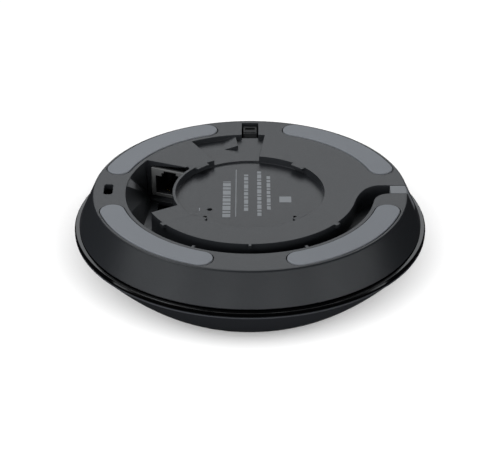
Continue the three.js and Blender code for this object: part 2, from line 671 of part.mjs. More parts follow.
addPart('back_shell', backShell(), housing());
for (const [place, [start, end]] of Object.entries(PAD_SPANS)) {
  const shape = padShape(PAD_INNER, PAD_OUTER, start, end);
  addPart(`grip_pad_${place}`, prism(shape, BACK_Z - PAD_SINK + GAP, BACK_Z + PAD_PROUD, 8), rubber());
}
addPart('cable_exit_plug', exitPlug(), rubber());
addPart('latch', latch(), darkPlastic());
addPart('latch_spring', latchSpring(), steel());
addPart('jack_shield', jackShield(), tin());
addPart('jack_insert', jackInsert(), darkPlastic());
contactPlaces().forEach((x, i) => addPart(`jack_contact_${i + 1}`, jackContact(x), gold()));
addPart('reset_switch', resetSwitch(), darkPlastic());
addPart('reset_button', resetButton(), darkPlastic());
screwPlaces().forEach(([x, y], i) =>
  addPart(`cover_screw_${i + 1}`, screw(x, y, 2.5, 1.45, 23, 42.6, 1.9, true), steel()));
BOARD_POSTS.forEach(([radius, angle], i) =>
  addPart(`board_screw_${i + 1}`, screw(...polar(radius, angle), 2.3, 1.15, 25.1, 34, 1.6, false), steel()));
addPart('main_board', mainBoard(), board());
addPart('trim_ring', trimRing(), gloss());
addPart('seal_ring', sealRing(), rubber());
addPart('front_cover', frontCover(), dome());
addPart('centre_cap', centreCap(), dome());
addPart('status_light_pipe', rod(0, 0, 1.5, 0.5, 7, 20), clear());
addPart('status_led', box(-1.2, 1.2, -1.2, 1.2, 7.25, 7.7), clear());
addPart('led_board', ledBoard(), board());
[-1, 1].forEach((side, i) =>
  addPart(`led_screw_${i + 1}`, screw(side * LED_POST, 0, 1.9, 0.95, 4.2, 11, 1.4, true), steel()));
addPart('led_ribbon', ledRibbon(), darkPlastic());
addPart('heat_spreader', heatSpreader(), aluminium());
SPREADER_POSTS.forEach(([radius, angle], i) => addPart(`spreader_screw_${i + 1}`,
  screw(...polar(radius, angle), 2.4, 1.15, 12, 23, 1.6, true), steel()));
Object.entries(CANS).forEach(([name, place], i) => {
  addPart(name, shieldCan(place), tin());
  addPart(`thermal_pad_${i + 1}`, thermalPad(place), gum());
});
[0, 90, 180, 270].forEach((angle, i) => addPart(`antenna_${i + 1}`, antenna(angle), tin()));
const onBoard = BOARD_TOP + GAP;
addPart('power_transformer', box(6, 20, -6, 8, onBoard, 37.5), darkPlastic());
[3, 14].forEach((y, i) =>
  addPart(`storage_capacitor_${i + 1}`, rod(26, y, 4, onBoard, 38, 24), aluminium()));
addPart('power_inductor', prism(roundedRectangle(10, 18, 5, 5, 1.5), onBoard, 34.5, 4), darkPlastic());

export default accessPoint;
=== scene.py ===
"""Looks of a ceiling access point that lies on its domed front, mounting side up.

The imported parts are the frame: +Z is the mounting side, +Y points to the latch, +X to the cable exit.
"""
import json
import math

import bmesh
import bpy
from mathutils import Matrix, Vector
from mathutils.geometry import interpolate_bezier


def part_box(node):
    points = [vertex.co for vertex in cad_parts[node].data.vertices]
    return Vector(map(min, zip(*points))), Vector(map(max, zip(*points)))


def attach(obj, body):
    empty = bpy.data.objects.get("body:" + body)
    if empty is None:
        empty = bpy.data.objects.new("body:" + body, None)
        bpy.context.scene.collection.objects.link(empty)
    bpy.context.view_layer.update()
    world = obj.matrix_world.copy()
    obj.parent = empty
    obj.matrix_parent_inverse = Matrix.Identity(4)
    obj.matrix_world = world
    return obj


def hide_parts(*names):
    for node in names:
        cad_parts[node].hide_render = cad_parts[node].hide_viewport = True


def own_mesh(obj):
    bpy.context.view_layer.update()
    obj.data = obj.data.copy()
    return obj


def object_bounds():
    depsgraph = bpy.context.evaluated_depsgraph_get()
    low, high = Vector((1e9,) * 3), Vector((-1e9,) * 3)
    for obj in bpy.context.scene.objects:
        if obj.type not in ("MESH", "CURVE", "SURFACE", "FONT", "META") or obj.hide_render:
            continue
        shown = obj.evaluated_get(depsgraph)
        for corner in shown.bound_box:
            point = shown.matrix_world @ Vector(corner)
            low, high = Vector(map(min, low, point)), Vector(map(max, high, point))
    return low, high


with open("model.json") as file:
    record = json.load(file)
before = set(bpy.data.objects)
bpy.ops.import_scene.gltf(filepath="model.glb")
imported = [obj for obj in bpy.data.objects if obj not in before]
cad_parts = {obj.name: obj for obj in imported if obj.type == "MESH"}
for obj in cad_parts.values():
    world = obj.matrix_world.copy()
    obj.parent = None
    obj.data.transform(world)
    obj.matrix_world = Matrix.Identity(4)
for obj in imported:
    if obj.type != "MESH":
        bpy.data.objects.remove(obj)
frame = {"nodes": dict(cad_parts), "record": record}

bl_info = {
    "name": "Ceiling access point",
    "version": (1, 0, 0),
    "blender": (4, 5, 0),
    "location": "View3D > Sidebar > Access point",
    "description": "Builds the fine housing, rim, pads, latch, jack and finishes round the packed parts",
    "category": "Object",
}

MM = 0.001
NODES = frame["nodes"]
CAD_LOW, CAD_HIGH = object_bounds()
BACK_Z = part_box("back_shell")[1].z / MM
RIM_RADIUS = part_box("trim_ring")[1].x / MM

# Sizes in millimetres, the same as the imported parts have.
GAP = 0.3
BACK_RADIUS = 60.8
SKIRT_Z = 31.15
SKIRT_TOP = BACK_Z - 0.5
SKIRT_RADIUS = 66.3
COVER_TOP = 28.8
COVER_RADIUS = 67.9
FRONT_FLAT = 20
DOME_POWER = 1.95
PLATE_Z = BACK_Z - 2.4
WALL = 2.2
RIB = 1.6
FLANGE_Z = SKIRT_Z + 1.45
FLANGE_INNER = 62.6
RECESS_RADIUS = 28.7
RECESS_Z = BACK_Z - 2.8
LIP_INNER = 26.9
LIP_THICK = 1.1
LIP_ANGLES = (41, 126.5, 221, 306.5)
LIP_SWEEP = 12.5
SECTOR_OUTER = 47.8
SECTOR_Z = BACK_Z - 2.1
SECTOR_START = 82.8
SECTOR_END = 119.4
WEDGE_ANGLE = 97
WEDGE_INNER = 39.3
WEDGE_LENGTH = 5.6
WEDGE_HEIGHT = 1.55
LATCH_NEAR = 49.3
WELL_HALF = 3.35
WELL_FAR = 58.3
WELL_FLOOR = 35.6
CHANNEL_INNER = 41.1
CHANNEL_OUTER = 48
CHANNEL_Z = BACK_Z - 7.5
CHANNEL_START = 204.7
CHANNEL_BEND = -9.5
CHANNEL_TURN = -13
EXIT_LOW = -2.3
EXIT_HIGH = 4.3
JACK_YAW = -21.7
JACK_X = -31.85
JACK_Y = 21.4
JACK_Z = 29
JACK_HALF = 7.9
JACK_HEIGHT = 12.3
POCKET_LIP = 29.9
LIP_BEGIN = 142.8
LIP_END = 202.4
POCKET_FLOOR = 25.5
POCKET_WALL = 0.45
POCKET_CORNER = 213
BOWL_POINT = (-40.7, 25.4, 28.4)
SIDE_TILT = (1.956, 0.144, 1)
SIDE_Z = -46.2
RAMP_TILT = (0, 0.24, 1)
RAMP_Z = 32.2
PIT_LEFT = -36.4
PIT_NEAR = -8
LEDGE_Z = 28.7
LEDGE_REACH = 3.2
PAD_INNER = 49.9
PAD_OUTER = 59.2
PAD_SINK = 1
PAD_PROUD = 0.4
PAD_GROOVE = 0.35
PAD_SPANS = {"far_right": (14.5, 75.5), "far_left": (104.5, 165.5),
             "near_left": (192.5, 255.5), "near_right": (284.5, 347.5)}
COVER_SCREW_RADIUS = 54.5
COVER_SCREW_ANGLES = (45, 135, 224, 316)
RESET = (-15.4, -9.9)
PEG_HOLES = ((-17.1, -15.6), (17.1, -15.6))
STUD_HOLE = (-24.8, 19.1)
SLOT_CENTRE = (-54.7, 1.1)
SLOT_HALF = (1.7, 4)
CAP_RADIUS = 14.7
CAP_HOLE = 1.8
CAP_LIP = 1.6
RING_INNER = 65.3
SEAL_INNER = 62.9
BOSS_RADIUS = 4.2
SCREW_HEAD = 2.9
SCREW_SEAT = 40.3
SCREW_HOLE = 1.85
RESET_RADIUS = 0.95
PEG_RADIUS = 0.7
STUD_RADIUS = 0.6
STUD_DEPTH = 2
PIT_FAR = 30
POCKET_SIDE = 1.9
JACK_MOUTH = (-0.5, 3)
LEDGE_FAR = 9
WEDGE_SINK = 0.5
SLOT_CORNER = 1
SECTOR_LAP = 1
TAB_THICK = 1.2
TAB_OUT = 1.3
TAB_ROOT = 0.6
INNER_TABS = ((218.5, 1.1), (270, 0.6), (321.5, 1.1))
OUTER_TABS = ((244, 0.6), (296, 0.6))
SPRING_WIRE = 0.25
SPRING_TURNS = 5
TURN_STEPS = 24

# Sizes of the printed marks in millimetres: each column is its middle, start, end and half width.
INK_THICK = 0.02
BAR_COLUMNS = ((-9.0, -16.0, 12.5, 1.5), (-1.5, -11.0, 19.0, 0.8), (3.6, -15.0, 21.0, 0.8),
               (7.2, -10.0, 17.0, 0.7))
BAR_LENGTHS = (2.6, 1.4, 3.4, 1.9)
BAR_GAP = 0.75
RULE = (-5.6, -5.3, -15.5, 22.5)
BLOCK_CENTRE = (13.6, -2.0)
BLOCK_HALF = (2.3, 2.3)
BLOCK_CORNER = 0.4

# Working sizes in millimetres: the height above the back that cuts start from, a length past
# the whole object, the distance within which outline points are one, and those for welding.
CUT_TOP = BACK_Z + 1
FAR = 90
SAME_POINT = 0.01
WELD = 0.004
FINE_WELD = 0.001

# Places and sizes of the lights and the floor in metres.
KEY_PLACE = (0, 0.68, 0.56)
KEY_SIZE = (0.9, 0.6)
TOP_PLACE = (-0.4, -0.1, 0.6)
TOP_SIZE = (0.35, 0.35)
FRONT_REACH = 1.1
FRONT_STEP = 34
FRONT_HEIGHT = 0.36
FRONT_DROP = 0.07
FRONT_SIZE = (0.85, 0.3)
PAPER_PLACE = (0, -1.6, 1.3)
PAPER_SIZE = (3, 1.6)
FLOOR_SIZE = 3
LIGHT_TINT = (0.94, 0.97, 1)
AMBIENT = (0.012, 0.012, 0.013, 1)


# ---- settings that a user would change ----
class ShapeSettings(bpy.types.PropertyGroup):
    """Fineness and edge rounding of the new pieces."""
    sides: bpy.props.IntProperty(
        name="Sides", description="Sides of the large turned pieces", default=192, min=48, max=512)
    housing_edge: bpy.props.FloatProperty(
        name="Housing edge", description="Rounding of the moulded housing's edges",
        default=0.16 * MM, min=0, max=MM, subtype="DISTANCE", unit="LENGTH")
    small_edge: bpy.props.FloatProperty(
        name="Small edge", description="Rounding of the latch, plug and jack edges",
        default=0.12 * MM, min=0, max=MM, subtype="DISTANCE", unit="LENGTH")
    pad_edge: bpy.props.FloatProperty(
        name="Pad edge", description="Rounding of the grip pads' upper edge",
        default=0.3 * MM, min=0, max=MM, subtype="DISTANCE", unit="LENGTH")


class ColourSettings(bpy.types.PropertyGroup):
    """Colours of the finishes."""
    housing: bpy.props.StringProperty(
        name="Housing", description="Charcoal of the moulded back housing", default="#333538")
    cover: bpy.props.StringProperty(
        name="Cover", description="Grey of the domed front", default="#515358")
    pad: bpy.props.StringProperty(
        name="Pads", description="Light grey of the rubber grip pads", default="#abaeb3")
    ink: bpy.props.StringProperty(
        name="Print", description="Light grey of the printed marks", default="#b6b9bc")


class StageSettings(bpy.types.PropertyGroup):
    """Floor, lights and camera."""
    view_elevation: bpy.props.FloatProperty(
        name="View elevation", description="Height of the camera above the horizon",
        default=math.radians(29.56), subtype="ANGLE", unit="ROTATION")
    view_distance: bpy.props.FloatProperty(
        name="View distance", description="Distance from the camera to the object's middle",
        default=738.6 * MM, subtype="DISTANCE", unit="LENGTH")
    aim_height: bpy.props.FloatProperty(
        name="Aim height", description="Height of the point that the camera looks at",
        default=28.74 * MM, subtype="DISTANCE", unit="LENGTH")
    lens: bpy.props.FloatProperty(
        name="Lens", description="Focal length in millimetres", default=136.5, min=20, max=300)
    key_power: bpy.props.FloatProperty(
        name="Key power", description="Power of the soft light above and behind", default=2.55, min=0)
    top_power: bpy.props.FloatProperty(
        name="Top power", description="Power of the small light above and to the left", default=1.2, min=0)
    front_power: bpy.props.FloatProperty(
        name="Front power", description="Power of each low soft light in front", default=1.3, min=0)
    floor_power: bpy.props.FloatProperty(
        name="Floor power", description="Power of the light that whitens the floor", default=145, min=0)


# ---- small tools ----
def settings(group):
    return getattr(bpy.context.scene, "access_point_" + group)


def polar(radius, degrees, centre=(0, 0)):
    turn = math.radians(degrees)
    return centre[0] + radius * math.cos(turn), centre[1] + radius * math.sin(turn)


def arc(radius, start, end, centre=(0, 0), step=2.0):
    """Points along an arc, both ends included."""
    count = max(2, math.ceil(abs(end - start) / step))
    return [polar(radius, start + (end - start) * i / count, centre) for i in range(count + 1)]


def curve(start, handle_a, handle_b, end, count=16):
    """Points of a cubic curve, both ends included."""
    knots = [Vector((*point, 0)) for point in (start, handle_a, handle_b, end)]
    return [(point.x, point.y) for point in interpolate_bezier(*knots, count)]


def distinct(points):
    """The outline without points that repeat the one before."""
    return [point for i, point in enumerate(points) if math.dist(point, points[i - 1]) > SAME_POINT]


def prism(outline, low, high, place=Matrix()):
    """A solid with a flat outline, from one height to another."""
    bm = bmesh.new()
    corners = [bm.verts.new((x * MM, y * MM, low * MM)) for x, y in distinct(outline)]
    face = bm.faces.new(corners)
    grown = bmesh.ops.extrude_face_region(bm, geom=[face])["geom"]
    tops = [part for part in grown if isinstance(part, bmesh.types.BMVert)]
    bmesh.ops.translate(bm, verts=tops, vec=(0, 0, (high - low) * MM))
    bmesh.ops.transform(bm, matrix=place, verts=bm.verts)
    bmesh.ops.recalc_face_normals(bm, faces=bm.faces)
    return bm


def turned(profile, sides=None):
    """A solid of revolution about Z. A profile that starts off the axis closes on itself."""
    bm = bmesh.new()
    points = [bm.verts.new((radius * MM, 0, height * MM)) for radius, height in profile]
    edges = [bm.edges.new(pair) for pair in zip(points, points[1:])]
    if profile[0][0] > 0:
        edges.append(bm.edges.new((points[-1], points[0])))
    bmesh.ops.spin(bm, geom=points + edges, cent=(0, 0, 0), axis=(0, 0, 1), angle=2 * math.pi,
                   steps=sides or settings("shape").sides, use_merge=True)
    bmesh.ops.remove_doubles(bm, verts=bm.verts, dist=FINE_WELD * MM)
    bmesh.ops.recalc_face_normals(bm, faces=bm.faces)
    return bm


def box(x0, x1, y0, y1, z0, z1, place=Matrix()):
    bm = bmesh.new()
    size = Matrix.Diagonal(((x1 - x0) * MM, (y1 - y0) * MM, (z1 - z0) * MM, 1))
    middle = Matrix.Translation(Vector((x0 + x1, y0 + y1, z0 + z1)) * MM / 2)
    bmesh.ops.create_cube(bm, size=1, matrix=place @ middle @ size)
    return bm


def rod(centre, radius, low, high, sides=32):
    bm = bmesh.new()
    middle = Matrix.Translation(Vector((*centre, (low + high) / 2)) * MM)
    bmesh.ops.create_cone(bm, cap_ends=True, segments=sides, radius1=radius * MM, radius2=radius * MM,
                          depth=(high - low) * MM, matrix=middle)
    return bm


def combined(base, *steps):
    """Runs ("UNION" | "DIFFERENCE" | "INTERSECT", solids) steps on a solid and returns the result."""
    target = bpy.data.objects.new("solid", bpy.data.meshes.new("solid"))
    base.to_mesh(target.data)
    base.free()
    bpy.context.scene.collection.objects.link(target)
    tools = []
    for operation, solids in steps:
        for solid in solids:
            tool = bpy.data.objects.new("tool", bpy.data.meshes.new("tool"))
            solid.to_mesh(tool.data)
            solid.free()
            bpy.context.scene.collection.objects.link(tool)
            tools.append(tool)
            change = target.modifiers.new("change", "BOOLEAN")
            change.operation = operation
            change.solver = "MANIFOLD"
            change.object = tool
    bpy.context.view_layer.update()
    graph = bpy.context.evaluated_depsgraph_get()
    result = bmesh.new()
    result.from_mesh(target.evaluated_get(graph).to_mesh())
    for spare in (target, *tools):
        bpy.data.meshes.remove(spare.data)
    return result


def merged(parts):
    """Several solids that don't touch, as one mesh."""
    whole = bmesh.new()
    for part in parts:
        mesh = bpy.data.meshes.new("part")
        part.to_mesh(mesh)
        part.free()
        whole.from_mesh(mesh)
        bpy.data.meshes.remove(mesh)
    return whole


def piece(name, bm, body, material, nodes=(), edge=0.0, segments=2, crease=35):
    """Makes the finished object: smooth where it is round, its sharp edges rounded by edge."""
    bmesh.ops.remove_doubles(bm, verts=bm.verts, dist=WELD * MM)
    mesh = bpy.data.meshes.new(name)
    bm.to_mesh(mesh)
    bm.free()
    mesh.materials.append(material)
    mesh.shade_smooth()
    mesh.set_sharp_from_angle(angle=math.radians(crease))
    made = bpy.data.objects.new(name, mesh)
    bpy.context.scene.collection.objects.link(made)
    if edge:
        rounding = made.modifiers.new("Rounded edges", "BEVEL")
        rounding.width = edge
        rounding.segments = segments
        rounding.limit_method = "ANGLE"
        rounding.angle_limit = math.radians(crease)
        rounding.use_clamp_overlap = False
        rounding.harden_normals = True
    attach(made, body)
    if nodes:
        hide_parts(*nodes)
    return made


def softened(node, body, material, name, segments=2):
    """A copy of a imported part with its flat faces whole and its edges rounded."""
    bm = bmesh.new()
    bm.from_mesh(NODES[node].data)
    bmesh.ops.remove_doubles(bm, verts=bm.verts, dist=FINE_WELD * MM)
    bmesh.ops.dissolve_limit(bm, angle_limit=math.radians(1), verts=bm.verts, edges=bm.edges)
    return piece(name, bm, body, material, nodes=(node,), edge=settings("shape").small_edge,
                 segments=segments)


# ---- finishes ----
def linear(colour):
    """An sRGB hex colour as linear red, green, blue and alpha."""
    parts = [int(colour[i:i + 2], 16) / 255 for i in (1, 3, 5)]
    return [part / 12.92 if part <= 0.04045 else ((part + 0.055) / 1.055) ** 2.4 for part in parts] + [1]


def add_node(tree, kind, values=None, links=None, **properties):
    """Adds a node, sets its properties and socket values, and links its inputs to other sockets."""
    node = tree.nodes.new(kind)
    for name, value in properties.items():
        setattr(node, name, value)
    for socket, value in (values or {}).items():
        node.inputs[socket].default_value = value
    for socket, source in (links or {}).items():
        tree.links.new(source, node.inputs[socket])
    return node


def grained(name, colour, roughness, grain, depth, blotch=0.06, spread=0.08, metallic=0.0, ior=1.5,
            stretch=(1, 1, 1), coat=0.0):
    """A surface with a fine relief of one grain size in millimetres and a faint uneven tone."""
    material = bpy.data.materials.new(name)
    material.use_nodes = True
    tree = material.node_tree
    shader = tree.nodes["Principled BSDF"]
    place = add_node(tree, "ShaderNodeTexCoord").outputs["Object"]
    place = add_node(tree, "ShaderNodeMapping", {"Scale": stretch}, {"Vector": place}).outputs[0]
    relief = add_node(tree, "ShaderNodeTexNoise", {"Scale": 1 / (grain * MM), "Detail": 3, "Roughness": 0.6},
                      {"Vector": place})
    tone = add_node(tree, "ShaderNodeTexNoise", {"Scale": 1 / (14 * MM), "Detail": 4}, {"Vector": place})
    bright = linear(colour)
    dark = [part * (1 - blotch) for part in bright[:3]] + [1]
    light = [min(1, part * (1 + blotch)) for part in bright[:3]] + [1]
    mix = add_node(tree, "ShaderNodeMix", {"A": dark, "B": light}, {"Factor": tone.outputs["Fac"]},
                   data_type="RGBA")
    speck = add_node(tree, "ShaderNodeMapRange", {"From Min": 0.25, "From Max": 0.75,
                     "To Min": roughness - spread, "To Max": roughness + spread},
                     {"Value": relief.outputs["Fac"]})
    bump = add_node(tree, "ShaderNodeBump", {"Strength": 0.6, "Distance": depth * MM},
                    {"Height": relief.outputs["Fac"]})
    shader.inputs["Metallic"].default_value = metallic
    if not metallic:
        shader.inputs["IOR"].default_value = ior
    shader.inputs["Coat Weight"].default_value = coat
    tree.links.new(mix.outputs["Result"], shader.inputs["Base Color"])
    tree.links.new(speck.outputs["Result"], shader.inputs["Roughness"])
    tree.links.new(bump.outputs["Normal"], shader.inputs["Normal"])
    return material


def finishes():
    """Every finish, made once and kept by name."""
    colours = settings("colours")
    return {
        # Moulded ABS and polycarbonate blend, spark-eroded mould: even satin charcoal with a fine grain.
        "housing": grained("Moulded ABS blend grey", colours.housing, 0.38, 0.45, 0.02),
        # The same blend for the domed front, from a finer mould: a duller skin.
        "cover": grained("Moulded ABS blend dark", colours.cover, 0.46, 0.4, 0.012),
        # Die-cut silicone rubber sheet: dull, light grey, closed skin with dust-fine pits.
        "pad": grained("Silicone rubber sheet", colours.pad, 0.72, 0.5, 0.03, blotch=0.04),
        # Moulded thermoplastic elastomer: dull grey with a slight sheen.
        "plug": grained("Thermoplastic elastomer", "#aeb0b3", 0.66, 0.5, 0.02, blotch=0.04),
        # Nitrile foam cord: black and dull.
        "seal": grained("Nitrile foam", "#161617", 0.9, 0.6, 0.05),
        # Piano-black polycarbonate, polished mould: deep black with sharp reflections.
        "gloss": grained("Polished polycarbonate black", "#050506", 0.1, 3, 0.001, spread=0.02),
        # Glass-filled nylon: black, satin, with a faint fibre grain.
        "nylon": grained("Glass-filled nylon black", "#1a1b1d", 0.42, 0.35, 0.015),
        # Acetal latch, moulded: satin charcoal that shows its edges.
        "acetal": grained("Acetal charcoal", "#121314", 0.62, 0.4, 0.01),
        # Nickel-plated brass sheet, drawn: bright with fine draw lines.
        "plated": grained("Nickel-plated sheet", "#b9b8b6", 0.3, 0.5, 0.006, metallic=1, stretch=(1, 1, 6)),
        # Matt tin plate on a drawn can: dull grey-white, soft reflections.
        "tin": grained("Matt tin plate", "#b4b4b2", 0.5, 0.4, 0.006, metallic=0.45),
        # Zinc-plated steel: bluish bright with a faint bloom.
        "zinc": grained("Zinc-plated steel", "#b9bdc2", 0.32, 0.8, 0.006, metallic=1),
        # Gold-flashed phosphor bronze: warm and bright.
        "gold": grained("Gold-flashed bronze", "#d2ac5a", 0.24, 1, 0.003, metallic=1),
        # Solder mask over glass laminate: dark green, glossy, with the weave just showing.
        "mask": grained("Solder mask green", "#1d4a35", 0.35, 0.9, 0.01, coat=0.3),
        # Rolled aluminium sheet: grey, with long rolling lines.
        "rolled": grained("Rolled aluminium", "#b4b6b8", 0.4, 0.8, 0.008, metallic=1, stretch=(6, 1, 1)),
        # Silicone gap filler: soft bluish grey putty.
        "putty": grained("Silicone gap filler", "#8f9ba7", 0.85, 1.2, 0.05),
        # Frosted acrylic light guide: milky and smooth.
        "acrylic": grained("Frosted acrylic", "#dfe6ea", 0.3, 2, 0.003, ior=1.49),
        # Pad-printed ink: thin, flat and light grey.
        "ink": grained("Pad-printed ink", colours.ink, 0.6, 0.3, 0.004),
    }


FINISH = {}


# ---- outlines and hollows of the back shell ----
JACK_PLACE = (Matrix.Translation((JACK_X * MM, JACK_Y * MM, 0))
              @ Matrix.Rotation(math.radians(JACK_YAW), 4, "Z"))


def from_jack(x, y):
    point = JACK_PLACE @ Vector((x * MM, y * MM, 0))
    return point.x / MM, point.y / MM


def jack_box(x0, x1, y0, y1, z0, z1):
    return box(x0, x1, y0, y1, z0, z1, JACK_PLACE)


def sector(inner, outer, start, end):
    return arc(outer, start, end) + arc(inner, end, start)


def pad_outline(inner, outer, start, end):
    """An arc-shaped pad with round ends."""
    middle = (inner + outer) / 2
    half = (outer - inner) / 2
    inset = math.degrees(half / middle)
    first = start + inset
    last = end - inset
    return (arc(outer, first, last) + arc(half, last, last + 180, polar(middle, last), 10)
            + arc(inner, last, first) + arc(half, first + 180, first + 360, polar(middle, first), 10))


def rounded_rectangle(centre, half, corner, step=15):
    (x, y), (half_x, half_y) = centre, half
    inner_x = half_x - corner
    inner_y = half_y - corner
    corners = ((1, -1, -90), (1, 1, 0), (-1, 1, 90), (-1, -1, 180))
    points = []
    for side_x, side_y, start in corners:
        points += arc(corner, start, start + 90, (x + side_x * inner_x, y + side_y * inner_y), step)
    return points


def channel_outline(grow):
    """The cable channel: an arc round the near half, then a double bend to the straight exit."""
    outer = CHANNEL_OUTER + grow
    inner = CHANNEL_INNER - grow
    low = EXIT_LOW - grow
    high = EXIT_HIGH + grow
    end = RIM_RADIUS + 4
    start = CHANNEL_START - 360
    bend = polar(outer, CHANNEL_BEND)
    turn = polar(inner, CHANNEL_TURN)
    return (arc(outer, start, CHANNEL_BEND)
            + curve(bend, (outer - 0.1, low - 2.5), (outer + 2.2, low), (outer + 5.9, low))
            + [(end, low), (end, high)]
            + curve((outer + 2.5, high), (inner + 5.2, high), (inner + 0.9, high - 4.2), turn)
            + arc(inner, CHANNEL_TURN, start))


def wall_angle(radius, wall):
    """The angle at which the pocket's end wall meets a circle."""
    foot = Vector(from_jack(0, wall))
    along = Vector(polar(1, JACK_YAW))
    reach = foot.dot(along)
    travel = -reach - math.sqrt(reach ** 2 - foot.length_squared + radius ** 2)
    end = foot + along * travel
    return math.degrees(math.atan2(end.y, end.x))


def pocket_outline(grow):
    wall = POCKET_WALL + grow
    outer = CHANNEL_OUTER + grow
    return ([from_jack(JACK_HALF + 0.1 + grow, wall)]
            + arc(outer, wall_angle(outer, wall), POCKET_CORNER)
            + arc(CHANNEL_INNER - grow, POCKET_CORNER, CHANNEL_START + grow)
            + arc(POCKET_LIP - grow, LIP_END + grow, LIP_BEGIN - 2 * grow))


def above(tilt, height, grow):
    """Everything above a tilted plane that crosses the Z axis at a height, moved down by a wall."""
    reach = 6 * CHANNEL_OUTER
    normal = Vector(tilt)
    turn = Vector((0, 0, 1)).rotation_difference(normal).to_matrix().to_4x4()
    lowered = Matrix.Translation((0, 0, (height - grow * normal.length) * MM))
    return box(-reach / 2, reach / 2, -reach / 2, reach / 2, 0, reach, lowered @ turn)


def pocket_bowl(grow):
    """A leaning cone from the pocket's round edge down to a point by the jack."""
    x, y, z = BOWL_POINT
    height = BACK_Z - z + grow
    bowl = bmesh.new()
    bmesh.ops.create_cone(bowl, cap_ends=True, segments=settings("shape").sides,
                          radius1=(0.1 + grow) * MM, radius2=(CHANNEL_OUTER + grow) * MM, depth=height * MM)
    lean = Matrix.Identity(4)
    lean[0][2] = -x / height
    lean[1][2] = -y / height
    up = Matrix.Translation((0, 0, BACK_Z * MM))
    down = Matrix.Translation((0, 0, -height * MM / 2))
    bmesh.ops.transform(bowl, matrix=up @ lean @ down, verts=bowl.verts)
    return bowl


def pocket_hollow(grow):
    """The deep pocket in front of the jack: bowl, steep side, ramp, ledge below the jack and pit."""
    low = POCKET_FLOOR - grow
    high = CUT_TOP
    side = JACK_HALF + POCKET_SIDE + grow
    near_ledge = jack_box(-FAR, FAR, -FAR, -LEDGE_REACH, low, high)
    floor = combined(above(RAMP_TILT, RAMP_Z, grow), ("INTERSECT", [near_ledge]), ("UNION", [
        box(-FAR, 0, -FAR, FAR, CHANNEL_Z - grow, high),
        jack_box(-FAR, FAR, -LEDGE_REACH - grow, LEDGE_FAR, LEDGE_Z - grow, high)]))
    front = -JACK_HALF - GAP - grow
    ledge = jack_box(front, side, -LEDGE_REACH - grow, grow + 1, LEDGE_Z - grow, high)
    pit = combined(box(PIT_LEFT - grow, 0, PIT_NEAR - grow, PIT_FAR, low, high),
                   ("INTERSECT", [jack_box(-FAR, side, -FAR, -LEDGE_REACH, low, high)]))
    within = prism(pocket_outline(grow), low, high)
    mouth = box(-FAR, 0, -FAR, FAR, BACK_Z - 0.02, high + 1)
    return combined(pocket_bowl(grow), ("UNION", [above(SIDE_TILT, SIDE_Z, grow), mouth]),
                    ("INTERSECT", [floor]), ("UNION", [ledge, pit]), ("INTERSECT", [within]))


def channel_hollow(grow):
    return prism(channel_outline(grow), CHANNEL_Z - grow, CUT_TOP)


def skirt_radius(height):
    share = (SKIRT_TOP - height) / (SKIRT_TOP - SKIRT_Z)
    return BACK_RADIUS + (SKIRT_RADIUS - BACK_RADIUS) * share


def screw_places():
    return [polar(COVER_SCREW_RADIUS, angle) for angle in COVER_SCREW_ANGLES]


def shell_outside():
    """The full body: flat back with a rounded edge, then the cone."""
    shoulder = arc(0.9, 80, 22, (BACK_RADIUS - 0.78, BACK_Z - 0.88), 12)
    return turned([(0, BACK_Z), (BACK_RADIUS - 1.6, BACK_Z), *shoulder,
                   (SKIRT_RADIUS - 0.12, SKIRT_Z + 0.25), (SKIRT_RADIUS - 0.25, SKIRT_Z), (0, SKIRT_Z)])


def bracket_wedge():
    """The ratchet wedge, drawn from the side and carried outwards."""
    side = [(0, -WEDGE_SINK), (WEDGE_LENGTH, -WEDGE_SINK), (WEDGE_LENGTH, 0), (0, WEDGE_HEIGHT)]
    stand = Matrix(((0, 0, 1, 0), (1, 0, 0, 0), (0, 1, 0, SECTOR_Z * MM), (0, 0, 0, 1)))
    turn = Matrix.Rotation(math.radians(WEDGE_ANGLE), 4, "Z")
    return prism(side, WEDGE_INNER, SECTOR_OUTER + WEDGE_SINK, turn @ stand)


def channel_tabs():
    """Small tabs on the channel's edges that hold the cable in."""
    tabs = []
    for places, low, high in ((INNER_TABS, CHANNEL_INNER - TAB_ROOT, CHANNEL_INNER + TAB_OUT),
                              (OUTER_TABS, CHANNEL_OUTER - TAB_OUT, CHANNEL_OUTER + TAB_ROOT)):
        for angle, half in places:
            turn = Matrix.Rotation(math.radians(angle), 4, "Z")
            tabs.append(box(low, high, -half, half, BACK_Z - TAB_THICK, BACK_Z, turn))
    return tabs


